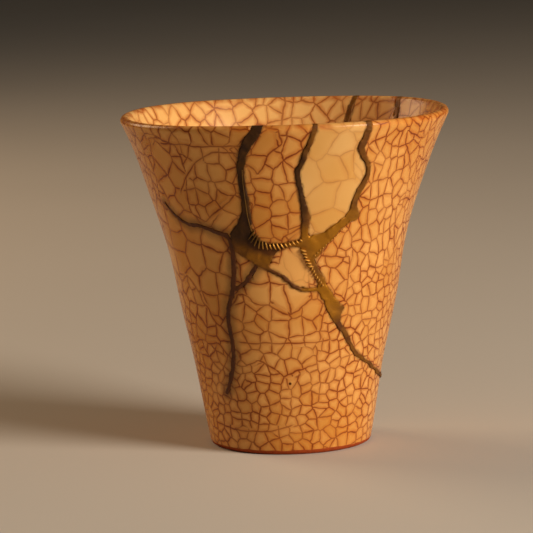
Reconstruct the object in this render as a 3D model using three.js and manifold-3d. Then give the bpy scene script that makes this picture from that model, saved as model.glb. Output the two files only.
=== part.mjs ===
// A kintsugi cup: a thrown, flared stoneware beaker that was broken, put together again from its
// shards, and mended with gold lacquer. Millimetres, +Z up, origin at the middle of the foot, front
// at -Y. Angles are degrees round the cup from the front, growing towards +X. Heights on the wall
// are percent of the cup's height, so the breaks keep their place when the cup grows.
import * as THREE from "three";
import { mergeVertices } from "three/addons/utils/BufferGeometryUtils.js";
import Module from "manifold-3d";

const wasm = await Module();
wasm.setup();

// The vessel
const cupHeight = 84;
const rimDiameter = 82.4; // across the lip at its widest
const footDiameter = 40.4;
const lipLean = 26; // how far the wall leans out from upright where it meets the lip, in degrees
const flarePower = 4.4; // higher keeps the wall straight for longer before it flares
const lipThickness = 2.4;
const wallAtFoot = 3.8;
const floorThickness = 5;
const floorCornerRadius = 6;
const footRingWidth = 5;
const footRecessDepth = 1.4;
const footBevel = 0.5;

// What the potter's hand left: soft throwing rings, a slight wander, an uneven lip
const throwingRingDepth = 0.25;
const throwingRingPitch = 34;
const throwingRingHeight = 35;
const wanderReach = 0.25;
const wanderPitch = 42;
const wanderHeight = 80;
const lipTilt = 0.35;
const lipWave = 0.2;

// The mend
const goldProud = 0.35; // how far the gold stands over the glaze, outside and inside
const lacquerProud = 0.1;
const mendGap = 0.12; // clearance between the mend and each shard edge
const cutReach = 5; // how far a cut runs past the wall's outer face, and past its inner face
const stationStep = 5; // spacing of the sections along a mended line
const mendWidthUnit = 1; // one unit of width in the lists of mended lines

// Fineness of the round shapes
const roundSegments = 56;
const wallSections = 8;
const lipSections = 4;
const cornerSections = 3;

const radians = THREE.MathUtils.degToRad;
const lipRadius = lipThickness / 2;
const shoulderHeight = cupHeight - lipRadius * (1 + Math.sin(radians(lipLean)));
const shoulderRadius = rimDiameter / 2 - lipRadius * (1 - Math.cos(radians(lipLean)));
const footRadius = footDiameter / 2;
const flareReach =
  (Math.tan(radians(lipLean)) * shoulderHeight - (shoulderRadius - footRadius)) / (flarePower - 1);
const taperReach = shoulderRadius - footRadius - flareReach;

function outerRadius(z) {
  const t = z / shoulderHeight;
  const window = Math.sin(Math.PI * THREE.MathUtils.clamp(t, 0, 1));
  const ring = Math.cos((2 * Math.PI * (z - throwingRingHeight)) / throwingRingPitch);
  return footRadius + taperReach * t + flareReach * t ** flarePower + throwingRingDepth * ring * window;
}

// Outward normal of the outer wall in the plane of radius and height.
function wallNormal(z) {
  const step = 0.01;
  const slope = (outerRadius(z + step) - outerRadius(z - step)) / (2 * step);
  return new THREE.Vector2(1, -slope).normalize();
}

// A point of the wall, at a depth under its outer face (negative depth is outside it).
function wallPoint(z, depth) {
  const n = wallNormal(z);
  return new THREE.Vector2(outerRadius(z) - depth * n.x, z - depth * n.y);
}

function wallThickness(z) {
  return THREE.MathUtils.lerp(wallAtFoot, lipThickness, z / shoulderHeight);
}

// The vessel's section from the axis under the foot round to the axis on the floor, grown by a skin.
function vesselProfile(skin) {
  const points = [];
  const ringInside = footRadius - footRingWidth;
  points.push(new THREE.Vector2(0, footRecessDepth - skin));
  points.push(new THREE.Vector2(ringInside - footRecessDepth - skin, footRecessDepth - skin));
  points.push(new THREE.Vector2(ringInside - skin, -skin));
  points.push(new THREE.Vector2(outerRadius(0) - footBevel + skin, -skin));
  for (let i = 0; i <= wallSections; i++) {
    const z = THREE.MathUtils.lerp(footBevel, shoulderHeight, i / wallSections);
    points.push(wallPoint(z, -skin));
  }
  const lipCentre = wallPoint(shoulderHeight, lipRadius);
  for (let i = 1; i < lipSections; i++) {
    const turn = radians(-lipLean) + (Math.PI * i) / lipSections;
    const reach = lipRadius + skin;
    points.push(
      new THREE.Vector2(lipCentre.x + reach * Math.cos(turn), lipCentre.y + reach * Math.sin(turn)),
    );
  }
  const cornerTop = floorThickness + floorCornerRadius;
  for (let i = wallSections; i >= 0; i--) {
    const z = THREE.MathUtils.lerp(cornerTop, shoulderHeight, i / wallSections);
    points.push(wallPoint(z, wallThickness(z) + skin));
  }
  const cornerStart = points[points.length - 1].clone();
  for (let i = 1; i <= cornerSections; i++) {
    const turn = (Math.PI / 2) * (i / cornerSections);
    points.push(
      new THREE.Vector2(
        cornerStart.x - floorCornerRadius * (1 - Math.cos(turn)),
        cornerStart.y + (floorThickness + skin - cornerStart.y) * Math.sin(turn),
      ),
    );
  }
  points.push(new THREE.Vector2(0, floorThickness + skin));
  return points;
}

// The small departures from a true round that a hand-thrown cup has.
function handThrown(point) {
  const rise = point.z / cupHeight;
  const angle = Math.atan2(point.x, -point.y);
  const swing = Math.cos((2 * Math.PI * (point.z - wanderHeight)) / wanderPitch);
  point.x += wanderReach * rise * swing;
  point.z += rise ** 2 * (lipTilt * Math.sin(angle) + lipWave * Math.cos(3 * angle));
  return point;
}

// Closed geometry as a solid for cutting and joining.
function solidOf(geometry) {
  geometry.deleteAttribute("normal");
  geometry.deleteAttribute("uv");
  const merged = mergeVertices(geometry, 1e-4);
  return new wasm.Manifold(
    new wasm.Mesh({
      numProp: 3,
      vertProperties: merged.attributes.position.array,
      triVerts: new Uint32Array(merged.index.array),
    }),
  );
}

function vesselSolid(skin) {
  const geometry = new THREE.LatheGeometry(vesselProfile(skin), roundSegments);
  geometry.rotateX(Math.PI / 2);
  const position = geometry.attributes.position;
  const point = new THREE.Vector3();
  for (let i = 0; i < position.count; i++) {
    handThrown(point.fromBufferAttribute(position, i));
    position.setXYZ(i, point.x, point.y, point.z);
  }
  return solidOf(geometry);
}

// The outer face of the wall at an angle and a height in percent, with its outward normal.
function onWall(angle, percent) {
  const z = (cupHeight * percent) / 100;
  const n = wallNormal(z);
  const turn = radians(angle);
  const out = new THREE.Vector3(Math.sin(turn), -Math.cos(turn), 0);
  return {
    at: out.clone().multiplyScalar(outerRadius(z)).setZ(z),
    normal: out.multiplyScalar(n.x).setZ(n.y),
  };
}

// A closed solid between two rings of like points, with its two ends closed by the triangles given.
function prism(outer, inner, caps) {
  const n = outer.length;
  const index = [];
  for (let i = 0; i < n; i++) {
    const j = (i + 1) % n;
    index.push(i, j, n + j, i, n + j, n + i);
  }
  for (const [a, b, c] of caps) {
    index.push(a, c, b, n + a, n + b, n + c);
  }
  const geometry = new THREE.BufferGeometry().setFromPoints([...outer, ...inner]);
  geometry.setIndex(index);
  const made = solidOf(geometry);
  return made.volume() > 0 ? made : solidOf(turnedOut(geometry));
}

function turnedOut(geometry) {
  const index = geometry.index.array;
  for (let i = 0; i < index.length; i += 3) {
    [index[i + 1], index[i + 2]] = [index[i + 2], index[i + 1]];
  }
  return geometry;
}

// Both ends of a cut through the wall, square to the wall at each of its edge points.
function throughWall(edge, caps) {
  const inside = wallAtFoot + cutReach;
  const outer = edge.map(({ at, normal }) => at.clone().addScaledVector(normal, cutReach));
  const inner = edge.map(({ at, normal }) => at.clone().addScaledVector(normal, -inside));
  return prism(outer, inner, caps);
}

// A mended line: a strip through the wall along points of [angle, percent, width], narrowed by
// `narrowing` on each side.
function strip(points, narrowing) {
  const curve = new THREE.CatmullRomCurve3(
    points.map(([angle, percent, width]) => new THREE.Vector3(angle, percent, width)),
    false,
    "catmullrom",
    0.35,
  );
  const stations = [];
  for (let i = 0; i + 1 < points.length; i++) {
    const gap = onWall(...points[i]).at.distanceTo(onWall(...points[i + 1]).at);
    const steps = Math.max(1, Math.round(gap / stationStep));
    for (let k = 0; k < steps; k++) {
      stations.push(curve.getPoint((i + k / steps) / (points.length - 1)));
    }
  }
  stations.push(curve.getPoint(1));
  const left = [];
  const right = [];
  stations.forEach(({ x, y, z: width }, i) => {
    const here = onWall(x, y);
    const before = stations[Math.max(i - 1, 0)];
    const after = stations[Math.min(i + 1, stations.length - 1)];
    const along = onWall(after.x, after.y).at.sub(onWall(before.x, before.y).at);
    const aside = along.cross(here.normal).normalize();
    const reach = (width * mendWidthUnit) / 2 - narrowing;
    left.push({ at: here.at.clone().addScaledVector(aside, -reach), normal: here.normal });
    right.push({ at: here.at.clone().addScaledVector(aside, reach), normal: here.normal });
  });
  const n = stations.length;
  const caps = [];
  for (let i = 0; i + 1 < n; i++) {
    const a = 2 * n - 1 - i;
    caps.push([i, i + 1, a], [i + 1, a - 1, a]);
  }
  return throughWall([...left, ...right.reverse()], caps);
}

// A filled loss: everything inside an outline of [angle, percent] points, drawn in by `narrowing`.
function fill(points, narrowing) {
  const flat = points.map(([angle, percent]) => {
    const z = (cupHeight * percent) / 100;
    return new THREE.Vector2(radians(angle) * outerRadius(z), z);
  });
  const side = THREE.ShapeUtils.isClockWise(flat) ? -1 : 1;
  const inset = flat.map((p, i) => {
    const before = p.clone().sub(flat.at(i - 1)).normalize();
    const after = flat[(i + 1) % flat.length].clone().sub(p).normalize();
    const inward = new THREE.Vector2(-before.y - after.y, before.x + after.x).normalize();
    const square = Math.max(0.5, inward.dot(new THREE.Vector2(-before.y, before.x)));
    return p.clone().addScaledVector(inward, (side * narrowing) / square);
  });
  const edge = inset.map((p) =>
    onWall(THREE.MathUtils.radToDeg(p.x / outerRadius(p.y)), (100 * p.y) / cupHeight),
  );
  const turns = THREE.ShapeUtils.isClockWise(inset);
  const caps = THREE.ShapeUtils.triangulateShape(inset, []).map(([a, b, c]) =>
    THREE.ShapeUtils.isClockWise([inset[a], inset[b], inset[c]]) === turns ? [a, b, c] : [a, c, b],
  );
  return throughWall(edge, caps);
}

// The gold lines, each as [angle, percent of height, width]. Those that end at the lip run past it.
const goldLines = {
  leftFromRim: [
    [-8.2, 104, 2.2], [-8.6, 99.8, 2.2], [-10.1, 97.6, 2.4], [-12.9, 94.8, 2.2], [-15, 91.7, 1.8],
    [-16.3, 88.7, 1.55], [-16.9, 85.7, 1.5], [-16.9, 82.1, 1.55], [-16.5, 78.2, 1.6],
    [-16.7, 74.3, 2.1], [-17.2, 71, 2.6],
  ],
  middleFromRim: [
    [11.2, 104, 0.95], [10.8, 100, 0.95], [9.7, 96.8, 1.05], [8.6, 94.3, 1.1], [7.3, 91.2, 1.05],
    [6, 88.2, 1], [4.6, 86.3, 1.15], [4.9, 84, 1.1], [5.9, 81, 1], [6.7, 77.9, 1.1],
    [7.8, 74.8, 1.7], [8.4, 71.7, 1.85], [8.2, 69, 1.5], [8.1, 66.2, 1.5], [8.6, 64.4, 1.8],
  ],
  rightFromRim: [
    [30.4, 104, 1.3], [30.1, 99.5, 1.3], [29.3, 95.5, 1.55], [28.2, 92.4, 1.75], [30.3, 89.4, 1.2],
    [33, 87, 1.15], [33.5, 84.3, 1.15], [32.2, 81.3, 1.3], [30.4, 78.7, 1.25], [29.5, 76.2, 1.5],
    [29.6, 73.3, 2.4], [27.6, 70.9, 2], [24.2, 69.6, 1.6], [21.4, 68.1, 2.3], [18.7, 66.3, 2.8],
    [15.7, 65.2, 3.5], [12.5, 64.5, 4],
  ],
  rightOfSmallShard: [
    [8.6, 62.8, 2.2], [10, 60.7, 2.05], [12, 58.3, 1.95], [14.4, 55.6, 1.7], [16.7, 53.1, 1.5],
    [17.9, 50.6, 1.9],
  ],
  underSmallShard: [
    [-12.6, 58.4, 0.85], [-10, 57.3, 0.8], [-7.2, 56.4, 0.8], [-4.1, 55.4, 0.75],
    [-0.9, 54.2, 0.75], [2.2, 52.1, 0.75], [5.5, 51.1, 0.75], [10.5, 50.5, 0.75],
    [15.8, 50.6, 0.85],
  ],
  roundTheRight: [
    [28, 39.2, 1.4], [31.7, 36.8, 1.1], [35, 34, 1.1], [38.3, 31.7, 1.1], [42, 29.5, 1.2],
    [48.7, 27.5, 1], [58.1, 24.9, 1], [68.9, 22.1, 1], [79.6, 20.2, 1.05], [92, 18.6, 1.1],
    [104, 20.8, 1.1], [114, 26.5, 1.1], [122, 34, 1.2], [130, 43.5, 1.2], [136.5, 52, 1.5],
  ],
  backNear: [
    [135.5, 51, 1.4], [131, 61, 1.2], [127.5, 71, 1.3], [126.5, 81, 1.2], [127.4, 90, 1.3],
    [130.6, 99, 1.3], [131.6, 104, 1.3],
  ],
  backFar: [
    [135.5, 50.6, 1.4], [143, 59, 1.3], [149, 70, 1.2], [152.5, 80, 1.2], [153.4, 89, 1.2],
    [151.4, 99, 1.2], [150.6, 104, 1.2],
  ],
};

// Lost chips that are filled with gold right through, as outlines of [angle, percent of height].
const goldFills = {
  leftLoss: [
    [-18, 75.5], [-18.8, 73.7], [-20.9, 71], [-23.4, 69.2], [-25.4, 67.8], [-25, 65.2],
    [-24.7, 62.6], [-22.4, 61.6], [-16.9, 59.5], [-12.8, 57.8], [-9.1, 57.3], [-7.2, 59.6],
    [-5.3, 61.9], [-2.2, 63.2], [1.6, 63.8], [7, 63.6], [7.6, 66], [1.3, 65.1], [-2.9, 64.6],
    [-6.8, 64.5], [-12.8, 65.5], [-15.2, 67.5], [-15.8, 71], [-15.4, 74.3],
  ],
  hub: [
    [5.8, 63.7], [7.2, 65], [7.6, 66.9], [9.6, 67.4], [11, 66.4], [14.5, 66], [17.5, 66.6],
    [18.6, 64.4], [16.6, 62.4], [14.9, 60.6], [12.7, 60.2], [11.2, 59], [8.4, 60.6], [6.8, 62.1],
  ],
  rightKnot: [
    [28.4, 76], [31, 74.8], [33, 72.2], [31.4, 70.6], [25.4, 70.1], [26.6, 71.9], [27.6, 73.4],
  ],
  leaf: [
    [15.5, 52.5], [15, 50.4], [16.7, 48.7], [18.5, 47], [21.7, 42.9], [25.6, 39.5], [28.2, 37.9],
    [29.9, 38.3], [28.4, 40], [28.2, 42.5], [30.2, 44.3], [27.2, 45.2], [23.3, 48.3],
    [19.2, 51.3], [17.7, 52.6],
  ],
};

// Cracks closed with brown lacquer, with no gold on them.
const lacquerLines = {
  leftCrack: [
    [-61, 75.4, 0.65], [-56.9, 72.9, 0.75], [-53.5, 71.1, 0.8], [-47.8, 69.6, 0.85],
    [-42, 69.6, 0.85], [-37.4, 69, 0.9], [-34.1, 68.2, 1], [-30.6, 67.6, 1.1], [-27.6, 67, 1.15],
    [-25.9, 65.4, 1.1], [-25.6, 62.6, 1.1], [-25.7, 59.6, 1.1], [-26.7, 55.1, 1.1],
    [-27.9, 50.8, 1.1], [-30.2, 47.4, 1.05], [-32.3, 44.5, 1.05], [-33.3, 41.2, 1.1],
    [-33.2, 37.4, 1.05], [-32.6, 34.4, 1], [-33.5, 30.1, 0.95], [-35.8, 25.7, 0.9],
    [-39.6, 21.2, 0.8], [-43.4, 18, 0.65],
  ],
  wedgeCrack: [
    [-28.2, 50.4, 0.8], [-24, 51.5, 0.8], [-20.5, 53.1, 0.8], [-17.6, 55.2, 0.8],
    [-15, 57.5, 0.75], [-14, 58.9, 0.75],
  ],
};

function network(lines, fills, narrowing) {
  return wasm.Manifold.union([
    ...Object.values(lines).map((points) => strip(points, narrowing)),
    ...Object.values(fills).map((points) => fill(points, narrowing)),
  ]);
}

// Each shard is told by a spot on it, as [angle, percent of height].
const clay = new THREE.MeshStandardMaterial({ color: "#d9a86c", roughness: 0.28 });
const plainClay = new THREE.MeshStandardMaterial({ color: "#dfb273", roughness: 0.26 });
const shards = [
  { name: "cup_body", spot: [-90, 30], material: clay },
  { name: "right_wall_shard", spot: [75, 60], material: clay },
  { name: "rim_shard_front_left", spot: [-4, 80], material: clay },
  { name: "rim_shard_front_plain", spot: [19, 80], material: plainClay },
  { name: "rim_shard_back", spot: [140, 80], material: clay },
  { name: "small_shard", spot: [5, 58], material: clay },
  { name: "wedge_shard", spot: [-23, 56], material: clay },
];

function probeAt([angle, percent]) {
  const { at, normal } = onWall(angle, percent);
  const middle = at.addScaledVector(normal, -lipRadius);
  const probe = new THREE.IcosahedronGeometry(0.3, 0);
  probe.translate(middle.x, middle.y, middle.z);
  return solidOf(probe);
}

function meshOf(name, solid, material) {
  const { vertProperties, triVerts } = solid.getMesh();
  const geometry = new THREE.BufferGeometry();
  geometry.setAttribute("position", new THREE.BufferAttribute(vertProperties, 3));
  geometry.setIndex(new THREE.BufferAttribute(triVerts, 1));
  geometry.computeVertexNormals();
  const mesh = new THREE.Mesh(geometry, material);
  mesh.name = name;
  return mesh;
}

const cup = new THREE.Group();

const goldWhole = network(goldLines, goldFills, 0);
const lacquerWhole = network(lacquerLines, {}, 0);
const broken = vesselSolid(0).subtract(goldWhole).subtract(lacquerWhole).decompose();
for (const { name, spot, material } of shards) {
  const probe = probeAt(spot);
  const piece = broken.find((solid) => solid.intersect(probe).volume() > 0);
  cup.add(meshOf(name, piece, material));
}

const gold = new THREE.MeshStandardMaterial({ color: "#8a6420", roughness: 0.35, metalness: 0.9 });
const goldMend = vesselSolid(goldProud).intersect(network(goldLines, goldFills, mendGap));
cup.add(meshOf("gold_seam", goldMend, gold));

const lacquer = new THREE.MeshStandardMaterial({ color: "#3a2010", roughness: 0.4 });
const lacquerMend = vesselSolid(lacquerProud)
  .intersect(network(lacquerLines, {}, mendGap))
  .subtract(goldWhole);
cup.add(meshOf("lacquer_seam", lacquerMend, lacquer));

export default cup;
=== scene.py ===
import math
from functools import partial

import bmesh
import bpy
import numpy as np
from mathutils import Matrix, Vector, noise
from mathutils.bvhtree import BVHTree


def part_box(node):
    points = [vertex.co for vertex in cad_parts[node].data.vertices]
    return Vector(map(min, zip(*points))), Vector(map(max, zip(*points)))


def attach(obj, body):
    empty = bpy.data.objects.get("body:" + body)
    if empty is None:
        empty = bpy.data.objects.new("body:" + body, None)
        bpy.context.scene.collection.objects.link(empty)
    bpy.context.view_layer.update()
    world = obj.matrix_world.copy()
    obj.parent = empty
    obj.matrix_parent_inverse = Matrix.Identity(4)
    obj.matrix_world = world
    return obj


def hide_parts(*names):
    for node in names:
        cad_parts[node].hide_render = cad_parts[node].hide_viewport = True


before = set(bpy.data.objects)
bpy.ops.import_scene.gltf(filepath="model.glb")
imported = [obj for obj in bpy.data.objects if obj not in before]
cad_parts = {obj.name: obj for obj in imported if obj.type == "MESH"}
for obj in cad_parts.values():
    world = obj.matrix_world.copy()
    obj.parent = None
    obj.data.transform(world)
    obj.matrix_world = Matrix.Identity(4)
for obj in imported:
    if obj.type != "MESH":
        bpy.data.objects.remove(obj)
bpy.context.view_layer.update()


# The studio: a pale, seamless floor of matt painted board, a large soft light high on the right, a
# weaker one behind on the left, and the camera where the photograph was taken from, 0.8 m off.
mm = 0.001
floor_half = 6.0  # in metres
board_shades = ("#cbc6be", "#d3cec6")
board_roughness = 0.75
roller_mottle = 0.25  # in metres
cup_middle = Vector((0, 0, 42 * mm))
studio_air = "#f2dabc"
studio_air_strength = 0.03

# soft lights: place and width in metres, power in watts, colour
soft_lights = {
    "key_light": ((0.89, -0.60, 0.54), 0.55, 15.0, "#ffeeda"),
    "left_light": ((-0.72, 0.48, 0.50), 0.55, 4.0, "#ffd8ac"),
}
camera_place = Vector((0, -0.8, 0.1575))
camera_pitch = math.radians(8.04)
camera_yaw = math.radians(-0.37)
camera_roll = math.radians(-1.40)
camera_focus_px = 3202
picture_px = 533
sensor_width = 36.0  # in mm
mix_colours = {"data_type": "RGBA"}


def linear(colour):
    """The linear colour of an sRGB hex value such as #c8a060."""
    shares = [int(colour[i : i + 2], 16) / 255 for i in (1, 3, 5)]
    return [c / 12.92 if c <= 0.04045 else ((c + 0.055) / 1.055) ** 2.4 for c in shares] + [1]


def wire(tree, value, socket):
    """Links an input to a node or a socket, or sets it to a plain value."""
    if isinstance(value, bpy.types.Node):
        value = next(output for output in value.outputs if output.enabled)
    if isinstance(value, bpy.types.NodeSocket):
        tree.links.new(value, socket)
    else:
        socket.default_value = value


def add(tree, kind, settings=None, *values, **named):
    """A new node, its kind without ShaderNode in front. Settings are a dict, or the operation alone.
    Values go to its open inputs in order, and named ones to the inputs of that name."""
    made = tree.nodes.new(kind if "Node" in kind else "ShaderNode" + kind)
    if isinstance(settings, str):
        settings = {"operation": settings}
    for name, value in (settings or {}).items():
        setattr(made, name, value)
    for socket, value in zip([socket for socket in made.inputs if socket.enabled], values):
        wire(tree, value, socket)
    for name, value in named.items():
        wire(tree, value, made.inputs[name])
    return made


def new_finish(name):
    """A new material, with its tree and its shader."""
    material = bpy.data.materials.new(name)
    material.use_nodes = True
    return material, material.node_tree, material.node_tree.nodes["Principled BSDF"]


def show(name, data):
    """A new object in the scene."""
    made = bpy.data.objects.new(name, data)
    bpy.context.scene.collection.objects.link(made)
    return made


def painted_board():
    """Matt emulsion on board: pale and even, with a faint mottle from the roller."""
    material, tree, shader = new_finish("matt_painted_board")
    place = add(tree, "TexCoord").outputs["Object"]
    mottle = add(tree, "TexNoise", None, Vector=place, Scale=1 / roller_mottle, Detail=2.0)
    tint = add(tree, "Mix", mix_colours, mottle, *map(linear, board_shades))
    wire(tree, tint, shader.inputs["Base Color"])
    shader.inputs["Roughness"].default_value = board_roughness
    return material


def soft_light(name, place, size, watts, colour):
    """A round soft light that points at the cup."""
    lamp = bpy.data.lights.new(name, "AREA")
    lamp.shape = "DISK"
    lamp.size = size
    lamp.energy = watts
    lamp.color = linear(colour)[:3]
    made = show(name, lamp)
    made.location = place
    made.rotation_euler = (cup_middle - Vector(place)).to_track_quat("-Z", "Y").to_euler()


floor_corners = [(x * floor_half, y * floor_half, 0) for x, y in ((-1, -1), (1, -1), (1, 1), (-1, 1))]
floor_mesh = bpy.data.meshes.new("studio_floor")
floor_mesh.from_pydata(floor_corners, [], [(0, 1, 2, 3)])
floor_mesh.materials.append(painted_board())
show("studio_floor", floor_mesh)

for name, light in soft_lights.items():
    soft_light(name, *light)
world = bpy.data.worlds.new("studio_air")
world.use_nodes = True
world.node_tree.nodes["Background"].inputs["Color"].default_value = linear(studio_air)
world.node_tree.nodes["Background"].inputs["Strength"].default_value = studio_air_strength
bpy.context.scene.world = world
bpy.context.scene.view_settings.view_transform = "Standard"

level_share = math.cos(camera_pitch)
forward = Vector(
    (math.sin(camera_yaw) * level_share, math.cos(camera_yaw) * level_share, -math.sin(camera_pitch))
)
level = Vector((math.cos(camera_yaw), -math.sin(camera_yaw), 0))
upright = level.cross(forward)
camera_right = level * math.cos(camera_roll) + upright * math.sin(camera_roll)
camera_up = upright * math.cos(camera_roll) - level * math.sin(camera_roll)
camera_turn = Matrix((camera_right, camera_up, -forward)).transposed().to_4x4()
camera_data = bpy.data.cameras.new("photo_camera")
camera_data.sensor_width = sensor_width
camera_data.lens = sensor_width * camera_focus_px / picture_px
camera = show("photo_camera", camera_data)
camera.matrix_world = Matrix.Translation(camera_place) @ camera_turn
bpy.context.scene.camera = camera


# The thrown cup: one flared stoneware beaker, turned on the wheel with a soft ring or two, a slight
# wander and an uneven lip. It is made whole here and then broken along the mended lines. Sizes in mm.
cup_height = 84.0
rim_diameter = 82.4
foot_diameter = 40.4
lip_lean = math.radians(26)
flare_power = 4.4
lip_thickness = 2.4
wall_at_foot = 3.8
floor_thickness = 5.0
floor_corner = 6.0
foot_ring_width = 5.0
foot_recess = 1.4
foot_bevel = 0.5
throwing_ring_depth = 0.25
throwing_ring_pitch = 34.0
throwing_ring_height = 35.0
welding_reach = 0.001
wall_steps = 80
lip_steps = 18
corner_steps = 14
lip_waves = 3.0
hand_of_the_thrower = {
    "Segments": 289,
    "Rings": 300,
    "Height": cup_height * mm,
    "Wander": 0.25 * mm,
    "Wander Pitch": 42 * mm,
    "Wander Height": 80 * mm,
    "Lip Tilt": 0.35 * mm,
    "Lip Wave": 0.2 * mm,
    "Glaze Flow": 0.12 * mm,
    "Flow Size": 7 * mm,
}

lip_radius = lip_thickness / 2
shoulder_height = cup_height - lip_radius * (1 + math.sin(lip_lean))
shoulder_radius = rim_diameter / 2 - lip_radius * (1 - math.cos(lip_lean))
foot_radius = foot_diameter / 2
spread = shoulder_radius - foot_radius
flare_reach = (math.tan(lip_lean) * shoulder_height - spread) / (flare_power - 1)
taper_reach = spread - flare_reach


def outer_radius(z):
    """The radius of the outer wall at a height, both in mm."""
    t = z / shoulder_height
    window = math.sin(math.pi * min(max(t, 0), 1))
    ring = math.cos(2 * math.pi * (z - throwing_ring_height) / throwing_ring_pitch)
    flared = foot_radius + taper_reach * t + flare_reach * t**flare_power
    return flared + throwing_ring_depth * ring * window


def wall_normal(z):
    """The outward normal of the outer wall, as (radius, height)."""
    step = 0.01
    slope = (outer_radius(z + step) - outer_radius(z - step)) / (2 * step)
    return Vector((1, -slope)).normalized()


def wall_point(z, depth):
    """A point of the wall at a depth under its outer face, as (radius, height) in mm."""
    return Vector((outer_radius(z), z)) - wall_normal(z) * depth


def on_wall(angle, height, proud=0.0):
    """A point on the outer wall, in metres: degrees from the front towards +X, and the rest in mm."""
    radius, z = wall_point(height, -proud)
    turn = math.radians(angle)
    return Vector((math.sin(turn) * radius, -math.cos(turn) * radius, z)) * mm


def wall_thickness(z):
    """The wall thins from the foot to the lip."""
    return wall_at_foot + (lip_thickness - wall_at_foot) * z / shoulder_height


def cup_section():
    """The section from the axis under the foot, round the lip, to the axis on the floor, in mm."""
    ring_inside = foot_radius - foot_ring_width
    lip_centre = wall_point(shoulder_height, lip_radius)
    points = [(0, foot_recess), (ring_inside - foot_recess, foot_recess), (ring_inside, 0)]
    points.append((outer_radius(0) - foot_bevel, 0))
    points += [wall_point(z, 0) for z in np.linspace(foot_bevel, shoulder_height, wall_steps)]
    for turn in np.linspace(-lip_lean, math.pi - lip_lean, lip_steps)[1:-1]:
        points.append(lip_centre + Vector((math.cos(turn), math.sin(turn))) * lip_radius)
    inside = np.linspace(shoulder_height, floor_thickness + floor_corner, wall_steps)
    points += [wall_point(z, wall_thickness(z)) for z in inside]
    radius, height = points[-1]
    for turn in np.linspace(0, math.pi / 2, corner_steps)[1:]:
        drop = (floor_thickness - height) * math.sin(turn)
        points.append((radius - floor_corner * (1 - math.cos(turn)), height + drop))
    return points + [(0, floor_thickness)]


def poly_curve(name, points):
    """A curve object through points in metres."""
    data = bpy.data.curves.new(name, "CURVE")
    data.dimensions = "3D"
    spline = data.splines.new("POLY")
    spline.points.add(len(points) - 1)
    for knot, point in zip(spline.points, points):
        knot.co = (*point, 1)
    return show(name, data)


def new_tree(name, sockets):
    """A geometry tree with one geometry in and out and the named inputs, as {name: socket type}."""
    tree = bpy.data.node_groups.new(name, "GeometryNodeTree")
    tree.interface.new_socket("Geometry", in_out="INPUT", socket_type="NodeSocketGeometry")
    for socket, kind in sockets.items():
        tree.interface.new_socket(socket, in_out="INPUT", socket_type="NodeSocket" + kind)
    tree.interface.new_socket("Geometry", in_out="OUTPUT", socket_type="NodeSocketGeometry")
    return tree, add(tree, "NodeGroupInput").outputs


def run_tree(tree, source, name, values):
    """The plain mesh object that a geometry tree makes of a source object."""
    modifier = source.modifiers.new(tree.name, "NODES")
    modifier.node_group = tree
    for item in tree.interface.items_tree:
        if item.in_out == "INPUT" and item.name in values:
            modifier[item.identifier] = values[item.name]
    depsgraph = bpy.context.evaluated_depsgraph_get()
    mesh = bpy.data.meshes.new_from_object(source.evaluated_get(depsgraph), depsgraph=depsgraph)
    source.modifiers.remove(modifier)
    return show(name, mesh)


def wheel_tree():
    """Turns a section round the upright axis, with the small departures of a hand-thrown cup."""
    sockets = {name: "Int" if name in ("Segments", "Rings") else "Float" for name in hand_of_the_thrower}
    tree, given = new_tree("thrown_on_the_wheel", sockets)
    node = partial(add, tree)
    clay = node("GeometryNodeMeshGrid", None, 1.0, 1.0, given["Segments"], given["Rings"])
    spot = node("SeparateXYZ", None, node("GeometryNodeInputPosition")).outputs
    angle = node("Math", "MULTIPLY", node("Math", "ADD", spot["X"], 0.5), 2 * math.pi)
    share = node("Math", "ADD", spot["Y"], 0.5)
    along = {"mode": "FACTOR", "use_all_curves": True}
    section = node("GeometryNodeSampleCurve", along, Curves=given["Geometry"], Factor=share)
    on_section = node("SeparateXYZ", None, section.outputs["Position"]).outputs
    radius, height = on_section["X"], on_section["Z"]
    rise = node("Math", "DIVIDE", height, given["Height"])

    # the axis wanders more and more as the wall rises, and the lip tilts and waves
    above = node("Math", "SUBTRACT", height, given["Wander Height"])
    swings = node("Math", "MULTIPLY", node("Math", "DIVIDE", above, given["Wander Pitch"]), 2 * math.pi)
    swing = node("Math", "MULTIPLY", rise, node("Math", "COSINE", swings))
    wander = node("Math", "MULTIPLY", swing, given["Wander"])
    tilt = node("Math", "MULTIPLY", node("Math", "SINE", angle), given["Lip Tilt"])
    waves = node("Math", "COSINE", node("Math", "MULTIPLY", angle, lip_waves))
    lift = node("Math", "ADD", tilt, node("Math", "MULTIPLY", waves, given["Lip Wave"]))

    x = node("Math", "MULTIPLY_ADD", node("Math", "SINE", angle), radius, wander)
    y = node("Math", "MULTIPLY", node("Math", "MULTIPLY", node("Math", "COSINE", angle), radius), -1.0)
    z = node("Math", "MULTIPLY_ADD", node("Math", "MULTIPLY", rise, rise), lift, height)
    place = node("CombineXYZ", None, x, y, z)
    turned = node("GeometryNodeSetPosition", None, Geometry=clay, Position=place)
    closed = node("GeometryNodeMergeByDistance", None, Geometry=turned, Distance=welding_reach * mm)

    # the glaze flowed a little before it set
    fineness = node("Math", "DIVIDE", 1.0, given["Flow Size"])
    flow = node("TexNoise", None, Vector=node("GeometryNodeInputPosition"), Scale=fineness, Detail=2.0)
    depth = node("Math", "MULTIPLY", node("Math", "SUBTRACT", flow, 1.0), given["Glaze Flow"])
    skin = node("VectorMath", "SCALE", node("GeometryNodeInputNormal"), depth)
    glazed = node("GeometryNodeSetPosition", None, Geometry=closed, Offset=skin)
    node("NodeGroupOutput", None, node("GeometryNodeSetShadeSmooth", None, glazed))
    return tree


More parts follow.
